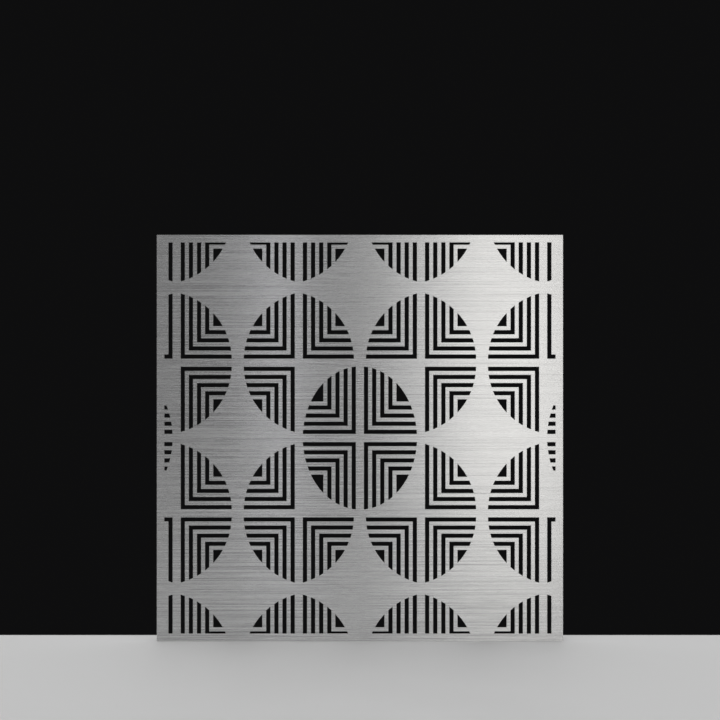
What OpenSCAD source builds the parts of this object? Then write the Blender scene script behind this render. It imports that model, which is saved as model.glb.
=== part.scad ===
// Laser cut metal screen: a square of brushed stainless sheet, cut with nested angular slots that
// are bounded by leaf and oval outlines, on a concealed frame of welded steel angle.
//
// Axes: X runs along the screen, Y from its face to its back, Z up. The origin is midway between
// the two bolt holes in the frame's bottom edge, on the face that those bolts pull against.

/* [Panel] */
// Width of the screen
panel_w = 1200; // [900:5:1500]
// Height of the screen
panel_h = 1200; // [900:5:1500]
// Thickness of the cut sheet
sheet_t = 3; // [1.5:0.5:6]
// How far the plain margin of the sheet reaches past the frame behind it
frame_cover = 1.9; // [0.5:0.1:12]

/* [Cut pattern] */
// Spacing of the motif columns
column_pitch = 361; // [340:1:400]
// Spacing of the motif rows
row_pitch = 445; // [430:1:480]
// Width of every slot
slot_w = 12.5; // [8:0.1:14]
// Metal left between two slots of a motif
rib_w = 11.5; // [8:0.1:16]
// Width of the bars that cross at the middle of every motif
cross_bar = 23.8; // [16:0.2:36]
// Nested slots in each quarter of a motif
slots_per_quarter = 4; // [2:1:5]
// Narrowest strip of a slot that is still cut where the pattern ends at the plain margin
least_cut = 3; // [0.5:0.5:8]
// Metal left between two leaf motifs side by side, at their widest
leaf_neck = 35.4; // [20:0.2:60]
// Metal that two leaf motifs, one above the other, would leave between their tips
leaf_tip_gap = 29.4; // [15:0.2:50]
// How far a leaf arc's centre lies beyond the motif's upright axis
leaf_back = 41.5; // [36:0.5:48]
// Metal between an oval's side and the line midway between two columns
oval_side_gap = 11.7; // [8:0.1:24]
// Metal between an oval's end and the line midway between two rows
oval_end_gap = 10.7; // [8:0.1:24]

/* [Frame] */
// Outside leg of the steel angle, both ways
angle_leg = 20; // [19:0.5:25]
// Thickness of the steel angle
angle_t = 3; // [2:0.5:3.5]
// Radius inside the corner of the rolled angle
root_r = 3.5; // [2:0.5:4]
// Radius at the inner edge of each leg's end
toe_r = 1.8; // [0.5:0.1:1.9]
// Radius of the weld bead across each mitred corner
bead_r = 4.5; // [4:0.1:6]
// Height of that bead above the angle
bead_rise = 1.5; // [0.8:0.1:2]
// Radius of the upright weld bead inside each corner
corner_bead_r = 5; // [4.5:0.1:6]
// How far each weld bead stops short of the angle's edge
bead_stop = 1; // [0.5:0.1:3]

/* [Isolating tape] */
// Thickness of the foam tape between sheet and frame
tape_t = 1; // [0.5:0.1:3]
// How far each edge of the tape lies inside the frame's leg
tape_inset = 0.5; // [0.2:0.1:2]
// Gap all round between a stud's flange and the hole punched in the tape
tape_hole_gap = 0.5; // [0.2:0.1:1]

/* [Weld studs] */
// Studs along each side
studs_per_side = 5; // [2:1:9]
// Distance from the screen's corner to the nearest stud
stud_from_corner = 160; // [60:5:200]
// Radius of the stud's thread
stud_r = 3; // [2:0.5:3]
// Radius of the flange that is welded to the sheet
stud_flange_r = 3.75; // [3.5:0.05:5]
// Thickness of that flange
stud_flange_t = 0.4; // [0.2:0.1:0.5]
// Length of thread that stands past the nut
stud_proud = 3.4; // [1:0.1:6]
// Chamfer at the stud's end
stud_chamfer = 0.8; // [0.2:0.1:1]
// Gap all round between a stud and its hole in the frame
stud_hole_gap = 0.3; // [0.1:0.1:1]

/* [Washers and nuts] */
// Outer radius of the washer
washer_r = 6; // [5:0.1:6.2]
// Thickness of the washer
washer_t = 1.6; // [1:0.1:2]
// Gap all round between a washer and its stud
washer_gap = 0.2; // [0.1:0.1:0.5]
// Width of the nut across its flats
nut_af = 10; // [9.6:0.1:11]
// Height of the nut's hexagon
nut_hex_h = 4.2; // [3:0.1:6]
// Height of the round collar on the nut
nut_collar_h = 1.8; // [1.4:0.1:3]
// Outer radius of that collar
nut_collar_r = 4.6; // [4.4:0.05:4.7]
// Gap all round between the nut and its stud
thread_gap = 0.1; // [0.05:0.05:0.2]
// Thickness of the nylon ring
ring_t = 1.2; // [0.6:0.1:1.3]
// Radial width of the nylon ring
ring_w = 1; // [0.6:0.05:1.1]
// Gap all round between the nylon ring and the collar
ring_gap = 0.05; // [0.05:0.05:0.15]

/* [Side bolt holes] */
// Distance from the screen's corner to a bolt hole
bolt_from_corner = 100; // [60:5:130]
// Radius of a bolt hole
bolt_hole_r = 3.5; // [2.5:0.1:4.5]
// Radius kept flat round each bolt hole for a washer
bolt_seat_r = 6; // [5:0.1:6.2]

/* [Hidden] */
$fn = 64;

// A leaf's outline is four equal arcs, each through (leaf_a, 0) and (0, leaf_b) of its quarter
leaf_a = (column_pitch - leaf_neck) / 2;
leaf_b = (row_pitch - leaf_tip_gap) / 2;
leaf_rise = (pow(leaf_b, 2) - pow(leaf_a, 2) - 2 * leaf_a * leaf_back) / (2 * leaf_b);
leaf_r = norm([leaf_a + leaf_back, leaf_rise]);

// An oval's outline is an ellipse
oval_a = column_pitch / 2 - oval_side_gap;
oval_b = row_pitch / 2 - oval_end_gap;

// The window that the pattern is clipped to, and the lattice of motifs in it
margin = angle_leg + frame_cover;
window_w = panel_w - 2 * margin;
window_h = panel_h - 2 * margin;
leaf_columns = ceil(window_w / 2 / column_pitch);
leaf_rows = ceil(window_h / 2 / row_pitch);
oval_columns = floor((window_w / 2 + oval_a) / (2 * column_pitch));
oval_rows = floor((window_h / 2 + oval_b) / (2 * row_pitch));
slot_pitch = slot_w + rib_w;
slot_reach = leaf_r + oval_b;
function slot_start(n) = cross_bar / 2 + n * slot_pitch;

// Depths along Y, all from the line of the side bolts
bolt_line = angle_t + root_r + bolt_seat_r;
frame_front = -bolt_line;
frame_inside = frame_front + angle_t;
frame_back = frame_front + angle_leg;
sheet_back = frame_front - tape_t;
washer_back = frame_inside + washer_t;
nut_h = nut_hex_h + nut_collar_h;

// Studs, as distances from the edge of the frame and from the middle of a side
stud_line = angle_t + root_r + washer_r;
stud_l = tape_t + angle_t + washer_t + nut_h + stud_proud;
tape_w = angle_leg - 2 * tape_inset;

BOTTOM = 0;
LEFT = 90;
TOP = 180;
RIGHT = 270;
SIDES = [BOTTOM, LEFT, TOP, RIGHT];
function is_upright(side) = side == LEFT || side == RIGHT;
function side_length(side) = is_upright(side) ? panel_h : panel_w;
function side_reach(side) = is_upright(side) ? panel_w : panel_h;
function stud_places(side) =
    let (half = side_length(side) / 2 - stud_from_corner)
    [for (n = [0 : studs_per_side - 1]) -half + 2 * half * n / (studs_per_side - 1)];
function bolt_places(side) =
    let (half = side_length(side) / 2 - bolt_from_corner) [-half, half];

// ---------------------------------------------------------------- cut pattern, drawn flat

// One slot of a quarter: an L whose corner points at the middle of the motif. The window reaches
// from low to high, and an arm is left out where too thin a strip of it would lie inside.
module nested_slot(n, low, high) {
    near = slot_start(n);
    far = near + slot_w;
    if (near + least_cut < min(high))
        translate([near, near]) {
            if (far - least_cut > low.x)
                square([slot_w, slot_reach - near]);
            if (far - least_cut > low.y)
                square([slot_reach - near, slot_w]);
        }
}

// The slots of the quarter towards (sx, sz) from the middle of a motif at (x, z), and the open
// corner past its last rib where the window holds that, all drawn right of and above (0, 0)
module quarter_slots(x, z, sx, sz) {
    low = [-window_w / 2 - sx * x, -window_h / 2 - sz * z];
    high = [window_w / 2 - sx * x, window_h / 2 - sz * z];
    for (n = [0 : slots_per_quarter - 1])
        nested_slot(n, low, high);
    corner = slot_start(slots_per_quarter);
    if (corner > max(low) && corner + least_cut < min(high))
        translate([corner, corner])
            square(slot_reach - corner);
}

// Puts a quarter drawn right of and above its motif's middle at (x, z), towards (sx, sz)
module place_quarter(x, z, sx, sz) {
    translate([x, z])
        mirror([sx < 0 ? 1 : 0, 0, 0])
            mirror([0, sz < 0 ? 1 : 0, 0])
                children();
}

// A leaf quarter gives way to an oval where it faces an even point of the lattice
function faces_oval(column, row, sx, sz) =
    (column + sx / 2) % 2 == 0 && (row + sz / 2) % 2 == 0;

module leaf_quarters() {
    for (i = [-leaf_columns : leaf_columns - 1], j = [-leaf_rows : leaf_rows - 1])
        for (sx = [-1, 1], sz = [-1, 1]) {
            column = i + 0.5;
            row = j + 0.5;
            x = column * column_pitch;
            z = row * row_pitch;
            reaches_window = abs(x + sx * cross_bar / 2) < window_w / 2
                && (abs(z) < window_h / 2 || z * sz < 0);
            if (reaches_window && !faces_oval(column, row, sx, sz))
                place_quarter(x, z, sx, sz)
                    intersection() {
                        quarter_slots(x, z, sx, sz);
                        translate([-leaf_back, leaf_rise])
                            circle(leaf_r);
                    }
        }
}

module oval_quarters() {
    for (i = [-oval_columns : oval_columns], j = [-oval_rows : oval_rows])
        for (sx = [-1, 1], sz = [-1, 1]) {
            x = 2 * i * column_pitch;
            z = 2 * j * row_pitch;
            if (abs(x) < window_w / 2 || x * sx < 0)
                place_quarter(x, z, sx, sz)
                    intersection() {
                        quarter_slots(x, z, sx, sz);
                        scale([oval_a / oval_b, 1])
                            circle(oval_b);
                    }
        }
}

module cut_pattern() {
    intersection() {
        square([window_w, window_h], center = true);
        union() {
            leaf_quarters();
            oval_quarters();
        }
    }
}

// ---------------------------------------------------------------- placing on the four sides

// Turns what is drawn on the bottom side, X along it and Z inwards, on to any side
module on_side(side) {
    translate([0, 0, panel_h / 2])
        rotate([0, side, 0])
            translate([0, 0, -side_reach(side) / 2])
                children();
}

// Sets a fastener, drawn upwards from the sheet's back, on every stud's line
module on_every_stud() {
    for (side = SIDES)
        on_side(side)
            for (x = stud_places(side))
                translate([x, sheet_back, stud_line])
                    rotate([-90, 0, 0])
                        children();
}

// ---------------------------------------------------------------- sheet and tape

module face_sheet() {
    color("silver")
        translate([0, sheet_back, panel_h / 2])
            rotate([90, 0, 0])
                linear_extrude(sheet_t)
                    difference() {
                        square([panel_w, panel_h], center = true);
                        cut_pattern();
                    }
}

// A strip of tape with a hole punched over each stud; upright strips butt against level ones
module tape(side) {
    shortened = is_upright(side) ? tape_inset + tape_w : tape_inset;
    length = side_length(side) - 2 * shortened;
    color("dimgray")
        on_side(side)
            difference() {
                translate([-length / 2, sheet_back, tape_inset])
                    cube([length, tape_t, tape_w]);
                for (x = stud_places(side))
                    translate([x, sheet_back - tape_t, stud_line])
                        rotate([-90, 0, 0])
                            cylinder(r = stud_flange_r + tape_hole_gap, h = 3 * tape_t);
            }
}

// ---------------------------------------------------------------- frame

// Section of the rolled angle: one leg flat against the tape, the other along the outer edge
module angle_section() {
    difference() {
        union() {
            square([angle_leg, angle_t]);
            square([angle_t, angle_leg]);
            translate([angle_t, angle_t])
                square(root_r);
        }
        translate([angle_t + root_r, angle_t + root_r])
            circle(root_r);
        translate([angle_leg, angle_t])
            toe_corner();
        translate([angle_t, angle_leg])
            toe_corner();
    }
}

// What the toe radius takes off the corner that lies at the origin, below and left of it
module toe_corner() {
    difference() {
        translate([-toe_r, -toe_r])
            square(2 * toe_r);
        translate([-toe_r, -toe_r])
            circle(toe_r);
    }
}

// The bar before it is drilled, cut to a mitre at both ends
module mitred_bar(side) {
    half = side_length(side) / 2;
    on_side(side)
        intersection() {
            translate([-half, frame_front, 0])
                rotate([90, 0, 90])
                    linear_extrude(2 * half)
                        mirror([1, -1, 0])
                            angle_section();
            translate([0, frame_back + angle_leg, 0])
                rotate([90, 0, 0])
                    linear_extrude(3 * angle_leg)
                        polygon([[-half, 0], [half, 0],
                                 [half - 2 * angle_leg, 2 * angle_leg],
                                 [-half + 2 * angle_leg, 2 * angle_leg]]);
        }
}

module frame_bar(side) {
    color([0.09, 0.09, 0.10])
        difference() {
            mitred_bar(side);
            on_side(side) {
                for (x = stud_places(side))
                    translate([x, frame_front - angle_t, stud_line])
                        rotate([-90, 0, 0])
                            cylinder(r = stud_r + stud_hole_gap, h = 3 * angle_t);
                for (x = bolt_places(side))
                    translate([x, 0, -angle_t])
                        cylinder(r = bolt_hole_r, h = 3 * angle_t);
            }
        }
}

// Bead across the mitre of the flat legs, and an upright bead up the corner of the edge legs
module corner_bead() {
    bead_end = (angle_leg - bead_stop) * sqrt(2);
    bead_centre = frame_inside + bead_rise - bead_r;
    upright_h = angle_leg - angle_t - bead_stop;
    intersection() {
        union() {
            rotate([0, -45, 0])
                translate([0, bead_centre, 0])
                    rotate([0, 90, 0])
                        cylinder(r = bead_r, h = bead_end);
            translate([angle_t, frame_inside, angle_t])
                rotate([-90, 0, 0])
                    cylinder(r = corner_bead_r, h = upright_h);
        }
        translate([angle_t, frame_inside, angle_t])
            cube(angle_leg);
    }
}

module corner_welds() {
    color([0.13, 0.13, 0.14])
        for (side = SIDES)
            difference() {
                on_side(side)
                    translate([-side_length(side) / 2, 0, 0])
                        corner_bead();
                for (bar = SIDES)
                    mitred_bar(bar);
            }
}

// ---------------------------------------------------------------- fasteners, drawn along +Z

module weld_studs() {
    color("lightsteelblue")
        on_every_stud() {
            cylinder(r = stud_flange_r, h = stud_flange_t);
            cylinder(r = stud_r, h = stud_l - stud_chamfer);
            translate([0, 0, stud_l - stud_chamfer])
                cylinder(r1 = stud_r, r2 = stud_r - stud_chamfer, h = stud_chamfer);
        }
}

module stud_washers() {
    color("gainsboro")
        on_every_stud()
            translate([0, 0, tape_t + angle_t])
                difference() {
                    cylinder(r = washer_r, h = washer_t);
                    translate([0, 0, -washer_t])
                        cylinder(r = stud_r + washer_gap, h = 3 * washer_t);
                }
}

// A hexagon with its corners turned off top and bottom, and the collar that holds the ring
module lock_nut() {
    flat_r = nut_af / 2;
    corner_r = flat_r / cos(30);
    corner_drop = (corner_r - flat_r) / 2;
    ring_r = stud_r + thread_gap + ring_w;
    difference() {
        union() {
            intersection() {
                cylinder(r = corner_r, h = nut_hex_h, $fn = 6);
                rotate_extrude()
                    polygon([[0, 0], [flat_r, 0], [corner_r, corner_drop],
                             [corner_r, nut_hex_h - corner_drop],
                             [flat_r, nut_hex_h], [0, nut_hex_h]]);
            }
            cylinder(r = nut_collar_r, h = nut_h);
        }
        translate([0, 0, -nut_h])
            cylinder(r = stud_r + thread_gap, h = 3 * nut_h);
        translate([0, 0, nut_h - ring_t])
            cylinder(r = ring_r + ring_gap, h = 2 * ring_t);
    }
}

module stud_nuts() {
    color("lightgray")
        on_every_stud()
            translate([0, 0, washer_back - sheet_back])
                lock_nut();
}

module nut_rings() {
    color("royalblue")
        on_every_stud()
            translate([0, 0, washer_back - sheet_back + nut_h - ring_t])
                difference() {
                    cylinder(r = stud_r + thread_gap + ring_w, h = ring_t);
                    translate([0, 0, -ring_t])
                        cylinder(r = stud_r + thread_gap, h = 3 * ring_t);
                }
}

// ---------------------------------------------------------------- one piece at a time

face_sheet();
tape(TOP);  // tape_top
tape(BOTTOM);  // tape_bottom
tape(LEFT);  // tape_left
tape(RIGHT);  // tape_right
frame_bar(TOP);  // frame_top
frame_bar(BOTTOM);  // frame_bottom
frame_bar(LEFT);  // frame_left
frame_bar(RIGHT);  // frame_right
corner_welds();
weld_studs();
stud_washers();
stud_nuts();
nut_rings();
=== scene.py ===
import math

import bmesh
import bpy
from mathutils import Matrix, Vector


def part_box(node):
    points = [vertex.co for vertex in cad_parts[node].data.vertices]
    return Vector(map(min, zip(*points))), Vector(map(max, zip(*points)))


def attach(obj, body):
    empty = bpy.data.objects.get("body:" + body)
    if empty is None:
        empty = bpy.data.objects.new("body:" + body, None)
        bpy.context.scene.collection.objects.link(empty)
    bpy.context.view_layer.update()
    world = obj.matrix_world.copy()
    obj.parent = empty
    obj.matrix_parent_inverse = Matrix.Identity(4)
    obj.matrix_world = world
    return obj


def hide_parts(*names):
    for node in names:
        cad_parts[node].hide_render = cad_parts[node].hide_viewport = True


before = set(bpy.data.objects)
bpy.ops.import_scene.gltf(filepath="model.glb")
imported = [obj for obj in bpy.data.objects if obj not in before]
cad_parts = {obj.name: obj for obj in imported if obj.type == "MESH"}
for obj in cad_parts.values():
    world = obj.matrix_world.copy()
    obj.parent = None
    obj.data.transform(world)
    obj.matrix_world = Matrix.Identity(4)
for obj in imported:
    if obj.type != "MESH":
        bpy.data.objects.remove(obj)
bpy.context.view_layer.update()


# ---------------------------------------------------------------- cut face sheet
# The front of the screen: 3 mm stainless sheet, its face brushed along the width, its back left as
# rolled and its slots laser cut. M6 studs welded to its back hold it to the frame, so its face is
# bare. The laser leaves striations through the walls of the cuts, and a broken edge on both sides.

SAME_POINT = 2e-6
SAME_PLANE = math.radians(1.0)
SHARP = math.radians(30.0)  # the least angle between faces at an edge that is broken or rounded
RIM_BREAK = 0.00025
FACES_ALONG_Y = 0.9  # the least share of the front's and the back's normals along Y


def merged_copy(node_name):
    """A bmesh of the node's surface: its loose triangles joined, its flat faces whole again."""
    mesh = bmesh.new()
    mesh.from_mesh(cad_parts[node_name].data)
    bmesh.ops.remove_doubles(mesh, verts=mesh.verts, dist=SAME_POINT)
    bmesh.ops.dissolve_limit(mesh, angle_limit=SAME_PLANE, verts=mesh.verts, edges=mesh.edges)
    for edge in mesh.edges:
        edge.smooth = True
    return mesh


def sharp_edges(mesh, wanted=lambda edge: True):
    """The edges whose faces meet at a clear angle, of those that are wanted."""
    return [e for e in mesh.edges if e.is_manifold and e.calc_face_angle() > SHARP and wanted(e)]


def break_edges(mesh, edges, width, segments=1, material=-1):
    """Rounds or chamfers the edges by the width, and gives back the new faces."""
    return bmesh.ops.bevel(
        mesh, geom=edges, offset=width, offset_type="OFFSET", segments=segments,
        profile=0.5, affect="EDGES", clamp_overlap=True, material=material)["faces"]


def as_piece(mesh, name, materials, nodes, smooth_below=SHARP):
    """Makes the bmesh a piece that stands for the CAD nodes and takes its finish from the slot."""
    data = bpy.data.meshes.new(name)
    mesh.to_mesh(data)
    mesh.free()
    # The normals that came with the CAD mesh don't fit its broken edges.
    if data.has_custom_normals:
        data.attributes.remove(data.attributes["custom_normal"])
    data.shade_smooth()
    data.set_sharp_from_angle(angle=smooth_below)
    for material in materials:
        data.materials.append(material)
    piece = bpy.data.objects.new(name, data)
    bpy.context.scene.collection.objects.link(piece)
    piece.modifiers.new("flats_stay_flat", "WEIGHTED_NORMAL").keep_sharp = True
    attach(piece, "root")
    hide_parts(*nodes)


class Nodes:
    """Adds nodes to one tree, and links an input to a socket or sets its value."""

    # The Mix node keeps one set of sockets a data type, and these are the ones for colours.
    MIX_SHARE, MIX_A, MIX_B, MIXED = 0, 6, 7, 2

    def __init__(self, tree):
        self.tree = tree

    def fill(self, node, inputs):
        for key, value in inputs.items():
            if isinstance(value, bpy.types.NodeSocket):
                self.tree.links.new(value, node.inputs[key])
            else:
                node.inputs[key].default_value = value
        return node

    def add(self, kind, inputs=None, **settings):
        node = self.tree.nodes.new(kind)
        for key, value in settings.items():
            setattr(node, key, value)
        return self.fill(node, inputs or {})

    def place_group(self, group, **inputs):
        node = self.tree.nodes.new("ShaderNodeGroup")
        node.node_tree = group
        return self.fill(node, inputs)

    def math(self, operation, a, b):
        return self.add("ShaderNodeMath", {0: a, 1: b}, operation=operation).outputs[0]

    def blend(self, a, b, share_of_b):
        """A number between two."""
        return self.add("ShaderNodeMix", {"Factor": share_of_b, "A": a, "B": b}).outputs["Result"]

    def remap(self, value, from_low, from_high, to_low=0.0, to_high=1.0):
        return self.add("ShaderNodeMapRange", {
            "Value": value, "From Min": from_low, "From Max": from_high,
            "To Min": to_low, "To Max": to_high}).outputs["Result"]

    def spread(self, noise, low, high):
        """A noise drawn out from the range that it mostly keeps to, to between low and high."""
        return self.remap(noise, 0.3, 0.7, low, high)

    def tint(self, dark, pale, share):
        """A colour between two, by a share from 0 to 1."""
        mix = self.add("ShaderNodeMix", data_type="RGBA")
        colours = [c if isinstance(c, bpy.types.NodeSocket) else (*c, 1) for c in (dark, pale)]
        self.fill(mix, {self.MIX_SHARE: share, self.MIX_A: colours[0], self.MIX_B: colours[1]})
        return mix.outputs[self.MIXED]

    def noise(self, place, scale, detail=2.0, roughness=0.5):
        return self.add("ShaderNodeTexNoise", {
            "Vector": place, "Scale": scale, "Detail": detail,
            "Roughness": roughness}).outputs["Fac"]

    def stretch(self, place, factors):
        return self.add("ShaderNodeVectorMath", {0: place, 1: factors},
                        operation="MULTIPLY").outputs[0]

    def bump(self, height, distance, strength):
        return self.add("ShaderNodeBump", {
            "Height": height, "Distance": distance, "Strength": strength}).outputs["Normal"]


def new_material(name, **constants):
    """A material with its nodes, object coordinates and shader, and the values that never vary."""
    material = bpy.data.materials.new(name)
    material.use_nodes = True
    material.node_tree.nodes.clear()
    nodes = Nodes(material.node_tree)
    place = nodes.add("ShaderNodeTexCoord").outputs["Object"]
    shader = nodes.add("ShaderNodeBsdfPrincipled")
    for key, value in constants.items():
        shader.inputs[key.replace("_", " ")].default_value = value
    output = nodes.add("ShaderNodeOutputMaterial")
    nodes.tree.links.new(shader.outputs["BSDF"], output.inputs["Surface"])
    return material, nodes, place, shader


def wire(nodes, shader, **sources):
    """Links node results to the shader's sockets, named with underscores for spaces."""
    for key, source in sources.items():
        nodes.tree.links.new(source, shader.inputs[key.replace("_", " ")])


def new_group(name, number_inputs, outputs):
    """A shader node group with a vector input Place, number inputs and number outputs."""
    group = bpy.data.node_groups.new(name, "ShaderNodeTree")
    group.interface.new_socket("Place", in_out="INPUT", socket_type="NodeSocketVector")
    for key, value in number_inputs.items():
        socket = group.interface.new_socket(key, in_out="INPUT", socket_type="NodeSocketFloat")
        socket.default_value = value
    for key in outputs:
        group.interface.new_socket(key, in_out="OUTPUT", socket_type="NodeSocketFloat")
    nodes = Nodes(group)
    return group, nodes, nodes.add("NodeGroupInput").outputs, nodes.add("NodeGroupOutput").inputs


NARROWER_LINES = (2.3, 1.0, 3.1)
SCORE_LINES = (1.1, 1.0, 1.9)
LINES_DARK, LINES_PALE = 0.38, 0.62
SCORE_START, SCORE_FULL = 0.60, 0.72


def brush_line_group():
    """Lines of a brush, a roll or a laser, drawn out along one axis.

    Along, Through and Across are how many line lengths, depths and line widths go to a metre in X,
    Y and Z. Lines is their mixed tone, Scores the few dark lines that stand out, both 0 to 1."""
    group, nodes, given, result = new_group(
        "brush_lines", {"Along": 5.0, "Across": 250.0, "Through": 5.0}, ["Lines", "Scores"])
    per_metre = nodes.add("ShaderNodeCombineXYZ", {
        "X": given["Along"], "Y": given["Through"], "Z": given["Across"]}).outputs[0]
    drawn_out = nodes.stretch(given["Place"], per_metre)
    broad = nodes.noise(drawn_out, 1.0, detail=3.0, roughness=0.62)
    narrow = nodes.noise(nodes.stretch(drawn_out, NARROWER_LINES), 1.0, detail=3.0, roughness=0.7)
    both = nodes.blend(broad, narrow, 0.5)
    nodes.tree.links.new(nodes.remap(both, LINES_DARK, LINES_PALE), result["Lines"])
    score = nodes.noise(nodes.stretch(drawn_out, SCORE_LINES), 1.0, detail=1.0, roughness=0.4)
    nodes.tree.links.new(nodes.remap(score, SCORE_START, SCORE_FULL), result["Scores"])
    return group


brush_lines = brush_line_group()


BRUSHED_GROOVE, BRUSHED_RIDGE = (0.29, 0.29, 0.294), (0.97, 0.97, 0.965)
FINE_LINES_SHARE = 0.36
SCORES_DARKEN = 0.6


def brushed_stainless():
    """The face: long level brush lines, which spread a highlight upright and keep it narrow."""
    material, nodes, place, shader = new_material(
        "brushed_stainless_face", Metallic=1.0, Anisotropic=1.0)
    long_lines = nodes.place_group(brush_lines, Place=place, Along=1.5, Across=760.0, Through=3.0)
    fine_lines = nodes.place_group(
        brush_lines, Place=place, Along=14.0, Across=1700.0, Through=3.0)
    tone = nodes.blend(
        long_lines.outputs["Lines"], fine_lines.outputs["Lines"], FINE_LINES_SHARE)
    scores = nodes.math("MULTIPLY", long_lines.outputs["Scores"], SCORES_DARKEN)
    scored = nodes.math("SUBTRACT", tone, scores)
    roughness = nodes.remap(tone, 0.0, 1.0, 0.09, 0.38)
    across_the_grain = nodes.add("ShaderNodeTangent", direction_type="UV_MAP", uv_map="grain")
    wire(nodes, shader, Base_Color=nodes.tint(BRUSHED_GROOVE, BRUSHED_RIDGE, scored),
         Roughness=roughness, Tangent=across_the_grain.outputs[0],
         Normal=nodes.bump(tone, 0.00002, 0.5))
    return material


ROLLED_DARK, ROLLED_PALE = (0.50, 0.50, 0.50), (0.62, 0.62, 0.615)


def rolled_stainless():
    """The sheet's back: the mill's own dull, even finish with faint rolling lines and clouds."""
    material, nodes, place, shader = new_material("rolled_stainless_back", Metallic=1.0)
    lines = nodes.place_group(brush_lines, Place=place, Along=1.5, Across=120.0, Through=3.0)
    cloud = nodes.noise(place, 6.0, detail=4.0, roughness=0.55)
    tone = nodes.blend(cloud, lines.outputs["Lines"], 0.35)
    grain = nodes.noise(place, 3000.0)
    wire(nodes, shader, Base_Color=nodes.tint(ROLLED_DARK, ROLLED_PALE, tone),
         Roughness=nodes.spread(cloud, 0.34, 0.44),
         Normal=nodes.bump(grain, 0.00001, 0.5))
    return material


CUT_AT_FACE, CUT_AT_BACK = (0.48, 0.475, 0.465), (0.30, 0.295, 0.285)
CUT_STRIATION = (0.62, 0.615, 0.60)


def laser_cut_steel():
    """The walls of the cuts: fine striations through the sheet, coarser and greyer to the back."""
    material, nodes, place, shader = new_material("laser_cut_edge", Metallic=1.0)
    lines = nodes.place_group(brush_lines, Place=place, Along=2600.0, Across=2600.0, Through=90.0)
    depth = nodes.add("ShaderNodeSeparateXYZ", {"Vector": place}).outputs["Y"]
    to_back = nodes.remap(depth, sheet_low.y, sheet_high.y)
    colour = nodes.tint(CUT_AT_FACE, CUT_AT_BACK, to_back)
    striated = nodes.tint(colour, CUT_STRIATION,
                          nodes.math("MULTIPLY", lines.outputs["Lines"], 0.5))
    wire(nodes, shader, Base_Color=striated, Roughness=nodes.remap(to_back, 0.0, 1.0, 0.36, 0.52),
         Normal=nodes.bump(lines.outputs["Lines"], 0.00004, 0.8))
    return material


sheet_low, sheet_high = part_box("face_sheet")
sheet_side = sheet_high.x - sheet_low.x
sheet_middle_z = (sheet_low.z + sheet_high.z) / 2
FACE, BACK, CUT = 0, 1, 2  # the places of the three finishes in the sheet's list


def lies_in_a_face(edge):
    """Whether the edge runs along the sheet's front or back, and not through the sheet."""
    return abs(edge.verts[0].co.y - edge.verts[1].co.y) < SAME_POINT


sheet = merged_copy("face_sheet")
for face in sheet.faces:
    face.material_index = CUT
    if face.normal.y < -FACES_ALONG_Y:
        face.material_index = FACE
    elif face.normal.y > FACES_ALONG_Y:
        face.material_index = BACK
break_edges(sheet, sharp_edges(sheet, lies_in_a_face), RIM_BREAK, material=CUT)

# U runs up the sheet, so the tangent that it gives the face lies across the brush lines.
grain = sheet.loops.layers.uv.new("grain")
for face in sheet.faces:
    for loop in face.loops:
        loop[grain].uv = (loop.vert.co.z, loop.vert.co.x)
as_piece(sheet, "cut_sheet", [brushed_stainless(), rolled_stainless(), laser_cut_steel()],
         ["face_sheet"])


# ---------------------------------------------------------------- isolating tape
# Closed-cell foam tape, 1 mm thick and stuck to the frame's flat legs, keeps the stainless sheet
# off the painted steel. Only its thin edges show, between sheet and frame.

SIDE_NAMES = ("top", "bottom", "left", "right")
FOAM_CELL, FOAM_SKIN = (0.020, 0.020, 0.021), (0.045, 0.045, 0.046)


def cell_foam():
    """Dark foam with closed cells of about half a millimetre and a skin that dulls the light."""
    material, nodes, place, shader = new_material("closed_cell_foam", Sheen_Weight=0.15)
    cells = nodes.add("ShaderNodeTexVoronoi", {"Vector": place, "Scale": 1900.0},
                      feature="DISTANCE_TO_EDGE").outputs["Distance"]
    cell = nodes.remap(cells, 0.0, 0.25)
    patches = nodes.noise(place, 60.0, detail=3.0)
    wire(nodes, shader,
         Base_Color=nodes.tint(FOAM_CELL, FOAM_SKIN, nodes.math("MULTIPLY", cell, patches)),
         Roughness=nodes.spread(patches, 0.82, 0.95),
         Normal=nodes.bump(cell, 0.00008, 0.7))
    return material


tape_foam = cell_foam()
for side_name in SIDE_NAMES:
    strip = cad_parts["tape_" + side_name].data
    strip.materials.clear()
    strip.materials.append(tape_foam)


# ---------------------------------------------------------------- angle frame
# Four bars of rolled 20 x 20 x 3 steel angle with mitred ends, welded into a square and powder
# coated in satin black. The coat has a fine orange peel, and is rubbed thinner along the edges.

BAR_EDGE_ROUND = 0.0004
ROUNDED = math.radians(50.0)  # shades smooth over an edge rounded in two steps
ORANGE_PEEL = 0.0002
COAT_BLACK, COAT_GREY = (0.024, 0.024, 0.025), (0.040, 0.040, 0.041)
RUBBED_GREY = (0.13, 0.13, 0.13)


def mark_worn_edges(mesh, edge_faces):
    """Marks the faces of worn edges with 1 in the attribute worn_edge, and all others with 0."""
    worn = mesh.loops.layers.float.new("worn_edge")
    for face in edge_faces:
        for loop in face.loops:
            loop[worn] = 1.0


def edge_wear_group():
    """Where an edge is rubbed: the mesh's own worn_edge mark, broken up by noise."""
    group, nodes, given, result = new_group("edge_wear", {"Mark": 0.0, "Patches": 90.0}, ["Wear"])
    patchy = nodes.noise(given["Place"], given["Patches"], detail=4.0, roughness=0.65)
    wear = nodes.math("MULTIPLY", given["Mark"], nodes.remap(patchy, 0.42, 0.62))
    nodes.tree.links.new(wear, result["Wear"])
    return group


edge_wear = edge_wear_group()


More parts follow.
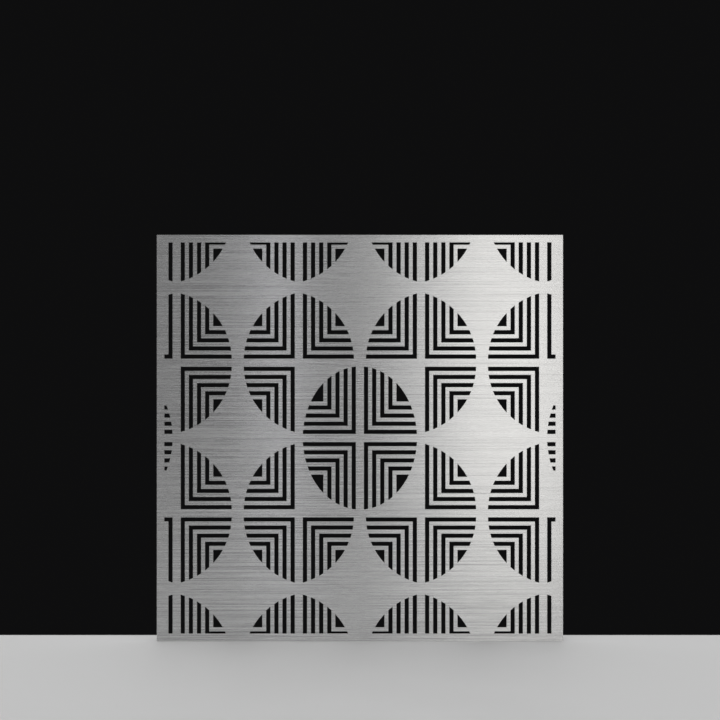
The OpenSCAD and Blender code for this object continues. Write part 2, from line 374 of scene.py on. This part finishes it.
def powder_coat(name, black, grey):
    """Satin black powder coat: orange peel of about 1.5 mm, greyer where an edge is rubbed."""
    material, nodes, place, shader = new_material(name, Specular_IOR_Level=0.45)
    mark = nodes.add("ShaderNodeAttribute", attribute_name="worn_edge").outputs["Fac"]
    wear = nodes.place_group(edge_wear, Place=place, Mark=mark).outputs["Wear"]
    ripple = nodes.noise(place, 650.0, detail=2.0, roughness=0.45)
    speck = nodes.noise(place, 2600.0, detail=1.0)
    height = nodes.blend(ripple, speck, 0.25)
    cloud = nodes.noise(place, 14.0, detail=3.0)
    coat = nodes.tint(black, grey, nodes.math("MULTIPLY", cloud, 0.5))
    wire(nodes, shader, Base_Color=nodes.tint(coat, RUBBED_GREY, wear),
         Roughness=nodes.spread(cloud, 0.40, 0.48),
         Normal=nodes.bump(height, ORANGE_PEEL, 0.8))
    return material


def is_off_the_mitres(edge):
    """Whether the edge is to be rounded: where two bars meet their welds are ground flush."""
    middle = (edge.verts[0].co + edge.verts[1].co) / 2
    return abs(abs(middle.x) - abs(middle.z - sheet_middle_z)) > SAME_POINT


bar_coat = powder_coat("satin_black_powder_coat", COAT_BLACK, COAT_GREY)
for side_name in SIDE_NAMES:
    bar = merged_copy("frame_" + side_name)
    rounded = break_edges(bar, sharp_edges(bar, is_off_the_mitres), BAR_EDGE_ROUND, segments=2)
    mark_worn_edges(bar, rounded)
    as_piece(bar, "angle_bar_" + side_name, [bar_coat], ["frame_" + side_name],
             smooth_below=ROUNDED)


# ---------------------------------------------------------------- corner welds
# A fillet bead up each inside corner of the frame and a flat bead over each mitre, both under the
# same powder coat. The weld pool froze in overlapping crescents, which the coat softens.

UPRIGHT_BEAD_R = 0.005
FLAT_BEAD_R = 0.0045
FLAT_BEAD_RISE = 0.0015
BEAD_STEP = 0.00025
BEAD_ARC_STEPS = 14
BEAD_END_L = 0.0026
BEAD_TIP = 0.2  # the share of a bead's radius that is left at its far end
CRESCENT_PITCH = 0.0016
UPRIGHT_CRESCENTS = 0.05  # the share of a bead's radius that it loses between two crescents
FLAT_CRESCENTS = 0.13
CRESCENT_LAG = 0.0018  # how far a crescent's ends trail behind its middle
WELD_COAT_BLACK, WELD_COAT_GREY = (0.026, 0.026, 0.027), (0.042, 0.042, 0.043)

welds_low, welds_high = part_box("corner_welds")
upright_bead_l = welds_high.y - welds_low.y
flat_bead_l = upright_bead_l * math.sqrt(2)


def rippled_bead(start, centre, arc, middle, length, depth):
    """A bead along +Z, with its root on the Z axis.

    It is an arc spun from the start about the centre, closed through the root and drawn out. Then
    it is drawn in at its far end and between its crescents, whose middle lies towards middle."""
    mesh = bmesh.new()
    first = mesh.verts.new(start)
    spread = first.co.xy.angle(middle)
    bmesh.ops.spin(mesh, geom=[first], cent=centre, axis=(0, 0, 1), angle=arc,
                   steps=BEAD_ARC_STEPS)
    mesh.verts.ensure_lookup_table()
    last = mesh.verts[-1]
    root = mesh.verts.new((0, 0, 0))
    mesh.edges.new((last, root))
    mesh.edges.new((root, first))
    steps = round(length / BEAD_STEP)
    bmesh.ops.spin(mesh, geom=mesh.verts[:] + mesh.edges[:], cent=(0, 0, 0), axis=(0, 0, 1),
                   angle=0.0, steps=steps, dvec=(0, 0, length / steps))
    for vert in mesh.verts:
        if vert.co.xy.length > SAME_POINT:
            off_middle = vert.co.xy.angle(middle) / spread
            lagging = vert.co.z + CRESCENT_LAG * off_middle ** 2
            crescent = abs(math.sin(math.pi * lagging / CRESCENT_PITCH))
            to_tip = max(0.0, 1.0 - (length - vert.co.z) / BEAD_END_L)
            drawn_in = math.sqrt(1.0 - (1.0 - BEAD_TIP ** 2) * to_tip ** 2)
            vert.co.xy *= drawn_in * (1.0 - depth * (1.0 - crescent))
    bmesh.ops.holes_fill(mesh, edges=[e for e in mesh.edges if e.is_boundary])
    return mesh


def corner_seats(runs_back):
    """What puts a bead along +Z in every corner, on a run straight back or in over the mitre."""
    backward = Vector((0, 1, 0))
    seats = []
    for side_x in (-1, 1):
        for root_z, side_z in ((welds_low.z, -1), (welds_high.z, 1)):
            in_x, in_z = Vector((-side_x, 0, 0)), Vector((0, 0, -side_z))
            inward = (in_x + in_z).normalized()
            axes = (in_x, in_z, backward)
            if not runs_back:
                axes = (backward.cross(inward), backward, inward)
            seats.append(Matrix.Translation((side_x * welds_high.x, welds_low.y, root_z))
                         @ Matrix(axes).transposed().to_4x4())
    return seats


def copies_at(seats, shape, group=None):
    """A bmesh, or the group, with a copy of the shape at every seat. The shape is used up."""
    pattern = bpy.data.meshes.new("pattern")
    shape.to_mesh(pattern)
    shape.free()
    group = group or bmesh.new()
    for seat in seats:
        first = len(group.verts)
        group.from_mesh(pattern)
        group.verts.ensure_lookup_table()
        bmesh.ops.transform(group, matrix=seat, verts=group.verts[first:])
    bpy.data.meshes.remove(pattern)
    return group


flat_bead_sink = FLAT_BEAD_R - FLAT_BEAD_RISE
flat_bead_half_w = math.sqrt(FLAT_BEAD_R ** 2 - flat_bead_sink ** 2)
upright_bead = rippled_bead((UPRIGHT_BEAD_R, 0, 0), (0, 0, 0), math.radians(90),
                            Vector((1, 1)), upright_bead_l, UPRIGHT_CRESCENTS)
flat_bead = rippled_bead((flat_bead_half_w, 0, 0), (0, -flat_bead_sink, 0),
                         2 * math.asin(flat_bead_half_w / FLAT_BEAD_R), Vector((0, 1)),
                         flat_bead_l, FLAT_CRESCENTS)
beads = copies_at(corner_seats(runs_back=True), upright_bead)
copies_at(corner_seats(runs_back=False), flat_bead, beads)
bmesh.ops.recalc_face_normals(beads, faces=beads.faces)
mark_worn_edges(beads, [])
weld_coat = powder_coat("coat_over_weld", WELD_COAT_BLACK, WELD_COAT_GREY)
as_piece(beads, "corner_beads", [weld_coat], ["corner_welds"],
         smooth_below=ROUNDED)


# ---------------------------------------------------------------- weld studs
# M6 x 1 stainless studs with a flange, welded to the sheet's back by a drawn arc, five along each
# side. Their rolled thread stands proud of the nuts and ends in a chamfer.

STUD_R = 0.003
STUD_L = 0.015
STUD_CHAMFER = 0.0008
THREAD_PITCH = 0.001
THREAD_DEPTH = 0.00061
THREAD_STEPS = 24
ROOT_ENDS, CREST_STARTS, CREST_ENDS, ROOT_STARTS = 0.10, 0.44, 0.56, 0.90  # shares of a pitch
THREAD_SEAM = 1e-6
ON_THE_CUT = 1e-7
FLANGE_R = 0.00375
FLANGE_T = 0.0004
FLANGE_RIM = ((0.0, 0.5), (0.3, 0.85), (0.8, 1.0))  # how far in and how high, in thicknesses
FLANGE_STEPS = 40
STUDS_A_SIDE = 5
STUD_FROM_CORNER = 0.160
STUD_TURN = 37  # degrees from one stud to the next
STUD_GREYS = (0.44, 0.44, 0.44), (0.64, 0.635, 0.62)

studs_low, studs_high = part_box("weld_studs")
stud_line = studs_high.x - FLANGE_R
stud_reach = sheet_side / 2 - STUD_FROM_CORNER


def stud_seats():
    """What puts a shape drawn along +Z on every stud's line, no two turned alike about it."""
    seats = []
    for quarter in range(4):
        turn = Matrix.Rotation(math.radians(90 * quarter), 4, "Y")
        for n in range(STUDS_A_SIDE):
            along = -stud_reach + 2 * stud_reach * n / (STUDS_A_SIDE - 1)
            on_face = turn @ Vector((along, 0, -stud_line))
            seats.append(Matrix.Translation((on_face.x, studs_low.y, sheet_middle_z + on_face.z))
                         @ Matrix.Rotation(math.radians(-90), 4, "X")
                         @ Matrix.Rotation(math.radians(STUD_TURN * len(seats)), 4, "Z"))
    return seats


def outline(mesh, points):
    """An open line of edges in the XZ plane through the points (radius, height)."""
    verts = [mesh.verts.new((radius, 0, height)) for radius, height in points]
    edges = [mesh.edges.new(pair) for pair in zip(verts, verts[1:])]
    return verts + edges


def threaded_stud():
    """A stud along +Z: the thread's flanks turned into a helix, cut square at both ends."""
    mesh = bmesh.new()
    root_r = STUD_R - THREAD_DEPTH
    flanks = outline(mesh, [
        (root_r, 0.0), (root_r, ROOT_ENDS * THREAD_PITCH), (STUD_R, CREST_STARTS * THREAD_PITCH),
        (STUD_R, CREST_ENDS * THREAD_PITCH), (root_r, ROOT_STARTS * THREAD_PITCH),
        (root_r, THREAD_PITCH)])
    # A turn past each end is cut off, so that the ends are whole.
    turns = round(STUD_L / THREAD_PITCH) + 2
    bmesh.ops.translate(mesh, verts=mesh.verts, vec=(0, 0, -THREAD_PITCH))
    bmesh.ops.spin(mesh, geom=flanks, cent=(0, 0, 0), axis=(0, 0, 1), angle=2 * math.pi * turns,
                   steps=turns * THREAD_STEPS, dvec=(0, 0, THREAD_PITCH / THREAD_STEPS))
    bmesh.ops.remove_doubles(mesh, verts=mesh.verts, dist=THREAD_SEAM)
    for height, outward in ((0.0, -1), (STUD_L, 1)):
        bmesh.ops.bisect_plane(
            mesh, geom=mesh.verts[:] + mesh.edges[:] + mesh.faces[:], dist=ON_THE_CUT,
            plane_co=(0, 0, height), plane_no=(0, 0, outward), clear_outer=True)
    for vert in mesh.verts:
        radius = vert.co.xy.length
        allowed = STUD_R - max(0.0, vert.co.z - (STUD_L - STUD_CHAMFER))
        if radius > allowed:
            vert.co.xy *= allowed / radius
    bmesh.ops.holes_fill(mesh, edges=[e for e in mesh.edges if e.is_boundary])
    bmesh.ops.recalc_face_normals(mesh, faces=mesh.faces)
    return mesh


def weld_flange():
    """The stud's flange, a ring round the thread's root with its upper rim rounded."""
    mesh = bmesh.new()
    root_r = STUD_R - THREAD_DEPTH
    rim = [(FLANGE_R - inward * FLANGE_T, up * FLANGE_T) for inward, up in FLANGE_RIM]
    section = outline(
        mesh, [(root_r, 0.0), (FLANGE_R, 0.0), *rim, (root_r, FLANGE_T), (root_r, 0.0)])
    bmesh.ops.spin(mesh, geom=section, cent=(0, 0, 0), axis=(0, 0, 1), angle=2 * math.pi,
                   steps=FLANGE_STEPS, use_merge=True)
    bmesh.ops.remove_doubles(mesh, verts=mesh.verts, dist=THREAD_SEAM)
    bmesh.ops.recalc_face_normals(mesh, faces=mesh.faces)
    return mesh


def fastener_steel(name, greys, roughness, lay):
    """Stainless of a small part: a faint turned or rolled lay, and a film of handling marks."""
    material, nodes, place, shader = new_material(name, Metallic=1.0)
    lines = nodes.place_group(brush_lines, Place=place, Along=lay, Across=lay, Through=lay * 4)
    smear = nodes.noise(place, 420.0, detail=3.0, roughness=0.6)
    tone = nodes.blend(lines.outputs["Lines"], smear, 0.55)
    wire(nodes, shader, Base_Color=nodes.tint(*greys, tone),
         Roughness=nodes.spread(smear, roughness - 0.05, roughness + 0.08),
         Normal=nodes.bump(tone, 0.00001, 0.5))
    return material


studs = copies_at(stud_seats(), threaded_stud())
copies_at(stud_seats(), weld_flange(), studs)
thread_steel = fastener_steel("rolled_thread_steel", STUD_GREYS, roughness=0.27, lay=500.0)
as_piece(studs, "threaded_studs", [thread_steel], ["weld_studs"],
         smooth_below=ROUNDED)


# ---------------------------------------------------------------- washers, nuts and rings
# On each stud sit a flat stainless washer, stamped and tumbled, and a cold formed stainless lock
# nut: a hexagon with a rolled collar that holds a blue nylon ring, which grips the thread.

WASHER_ROUND = 0.0002
NUT_ROUND = 0.00015
RING_ROUND = 0.00012
WASHER_GREYS = (0.46, 0.46, 0.455), (0.64, 0.64, 0.63)
NUT_GREYS = (0.50, 0.50, 0.50), (0.70, 0.695, 0.68)
NYLON_DEEP, NYLON_PALE = (0.025, 0.10, 0.34), (0.04, 0.16, 0.46)


def rounded_copy(node_name, width):
    """A bmesh of the node's surface with its sharp edges rounded by the width."""
    mesh = merged_copy(node_name)
    break_edges(mesh, sharp_edges(mesh), width, segments=2)
    return mesh


washers = rounded_copy("stud_washers", WASHER_ROUND)
washer_steel = fastener_steel("stamped_washer_steel", WASHER_GREYS, roughness=0.33, lay=260.0)
as_piece(washers, "washers", [washer_steel], ["stud_washers"],
         smooth_below=ROUNDED)

nuts = rounded_copy("stud_nuts", NUT_ROUND)
bmesh.ops.dissolve_degenerate(nuts, dist=SAME_POINT, edges=nuts.edges)
nut_steel = fastener_steel("cold_formed_nut_steel", NUT_GREYS, roughness=0.24, lay=180.0)
as_piece(nuts, "lock_nuts", [nut_steel], ["stud_nuts"],
         smooth_below=ROUNDED)


def blue_nylon():
    """Moulded nylon: a little light passes into it, and its skin is finely uneven."""
    material, nodes, place, shader = new_material(
        "blue_nylon", Subsurface_Weight=0.12, Subsurface_Scale=0.0006)
    skin = nodes.noise(place, 900.0, detail=3.0)
    cloud = nodes.noise(place, 70.0)
    wire(nodes, shader, Base_Color=nodes.tint(NYLON_DEEP, NYLON_PALE, cloud),
         Roughness=nodes.spread(skin, 0.36, 0.46), Normal=nodes.bump(skin, 0.00002, 0.6))
    return material


rings = rounded_copy("nut_rings", RING_ROUND)
as_piece(rings, "nylon_rings", [blue_nylon()], ["nut_rings"],
         smooth_below=ROUNDED)


# ---------------------------------------------------------------- studio
# A pale platform is the floor, and a dark wall shows through the slots. Upright soft boxes stand
# in a row behind the camera, each as bright as the strip of metal that mirrors it has to be, and
# large fills light the screen from the other sides.

FLOOR_LOW = Vector((-1.9, -2.2, -0.05))
FLOOR_HIGH = Vector((1.9, 0.12, 0.0))
FLOOR_EDGE_ROUND = 0.004
FLOOR_DARK, FLOOR_PALE = (0.60, 0.60, 0.60), (0.64, 0.64, 0.64)

floor_paint, nodes, place, shader = new_material("studio_floor")
mottle = nodes.noise(place, 3.0, detail=3.0)
wire(nodes, shader, Base_Color=nodes.tint(FLOOR_DARK, FLOOR_PALE, mottle),
     Roughness=nodes.spread(mottle, 0.55, 0.65))

platform = bmesh.new()
bmesh.ops.create_cube(
    platform, size=1.0, matrix=Matrix.Translation((FLOOR_LOW + FLOOR_HIGH) / 2)
    @ Matrix.Diagonal((*(FLOOR_HIGH - FLOOR_LOW), 1.0)))
break_edges(platform, platform.edges[:], FLOOR_EDGE_ROUND, segments=3)
floor_mesh = bpy.data.meshes.new("studio_floor")
platform.to_mesh(floor_mesh)
platform.free()
floor_mesh.materials.append(floor_paint)
floor = bpy.data.objects.new("studio_floor", floor_mesh)
bpy.context.scene.collection.objects.link(floor)

DARK_WALL = (0.0045, 0.0045, 0.0047)
GREY_WALL = (0.085, 0.085, 0.087)
PALE_CEILING = (0.95, 0.95, 0.95)
DARK_STARTS, DARK_FULL = 0.1, 0.6  # how far back a direction points
CEILING_STARTS, CEILING_FULL = 0.50, 0.80  # how far up it points

world = bpy.data.worlds.new("studio")
bpy.context.scene.world = world
world.use_nodes = True
world.node_tree.nodes.clear()
sky = Nodes(world.node_tree)
direction = sky.add("ShaderNodeSeparateXYZ", {
    "Vector": sky.add("ShaderNodeTexCoord").outputs["Generated"]}).outputs
wall = sky.tint(GREY_WALL, DARK_WALL, sky.remap(direction["Y"], DARK_STARTS, DARK_FULL))
around = sky.tint(wall, PALE_CEILING, sky.remap(direction["Z"], CEILING_STARTS, CEILING_FULL))
background = sky.add("ShaderNodeBackground", {"Color": around, "Strength": 1.0})
world_output = sky.add("ShaderNodeOutputWorld")
sky.tree.links.new(background.outputs[0], world_output.inputs["Surface"])


def soft_box(name, place, aim, width, height, radiance, tone=(1, 1, 1), in_gloss=True):
    """A flat lamp at a place, turned to face a point, as bright all over as the radiance."""
    lamp = bpy.data.lights.new(name, "AREA")
    lamp.shape = "RECTANGLE"
    lamp.size = width
    lamp.size_y = height
    lamp.energy = radiance * math.pi * width * height
    lamp.color = tone
    holder = bpy.data.objects.new(name, lamp)
    holder.location = place
    holder.rotation_euler = (Vector(aim) - Vector(place)).to_track_quat("-Z", "Y").to_euler()
    holder.visible_camera = False
    holder.visible_glossy = in_gloss
    bpy.context.scene.collection.objects.link(holder)


ROW_Y, ROW_Z, ROW_HEIGHT = -8.0, 1.0, 6.0
WARM, COOL = (1.0, 0.985, 0.955), (0.98, 0.98, 1.03)


def upright_box(name, x, width, radiance, tone=(1, 1, 1)):
    """One of the soft boxes in the row behind the camera, square to the screen."""
    soft_box(name, (x, ROW_Y, ROW_Z), (x, 0.0, ROW_Z), width, ROW_HEIGHT, radiance, tone)


soft_box("overhead_box", place=(0.0, -1.6, 3.4), aim=(0.0, -0.6, 0.0), width=3.0, height=1.6,
         radiance=1.35, in_gloss=False)
upright_box("right_box", x=1.11, width=1.02, radiance=1.36, tone=WARM)
upright_box("middle_box", x=0.39, width=0.42, radiance=0.60)
upright_box("centre_box", x=-0.06, width=0.48, radiance=0.10)
upright_box("left_strip", x=-0.61, width=0.21, radiance=0.88, tone=COOL)
soft_box("front_fill", place=(0.0, -9.0, 1.9), aim=(0.0, 0.0, 1.9), width=8.0, height=4.4,
         radiance=0.24)
for name, side_x in (("side_left_box", -6.4), ("side_right_box", 6.4)):
    soft_box(name, place=(side_x, -6.0, 1.2), aim=(0.0, 0.0, 0.8), width=5.4, height=6.0,
             radiance=0.80)
soft_box("back_fill", place=(0.0, 4.5, 0.8), aim=(0.0, 0.0, 0.6), width=14.0, height=8.0,
         radiance=0.75)


# ---------------------------------------------------------------- camera
# The photograph is taken square on. The camera stands so far to the side and so high that the four
# sides of the screen's face fall on the same pixels as there.

# The photograph's side and where the sides of the screen lie in it, in pixels
PICTURE_SIDE = 720
SCREEN_LEFT, SCREEN_RIGHT = 156.8, 563.0
SCREEN_TOP, SCREEN_BOTTOM = 234.9, 641.2

CAMERA_DISTANCE = 6.0
SENSOR = 36.0
metres_per_pixel = sheet_side / (SCREEN_RIGHT - SCREEN_LEFT)
picture_middle = PICTURE_SIDE / 2
camera_data = bpy.data.cameras.new("camera")
camera_data.sensor_width = SENSOR
camera_data.lens = SENSOR * CAMERA_DISTANCE / (PICTURE_SIDE * metres_per_pixel)
camera = bpy.data.objects.new("camera", camera_data)
camera.location = (
    (picture_middle - (SCREEN_LEFT + SCREEN_RIGHT) / 2) * metres_per_pixel,
    sheet_low.y - CAMERA_DISTANCE,
    sheet_middle_z + ((SCREEN_TOP + SCREEN_BOTTOM) / 2 - picture_middle) * metres_per_pixel)
camera.rotation_euler = (math.radians(90), 0, 0)
bpy.context.scene.collection.objects.link(camera)
bpy.context.scene.camera = camera
bpy.context.scene.view_settings.view_transform = "Standard"
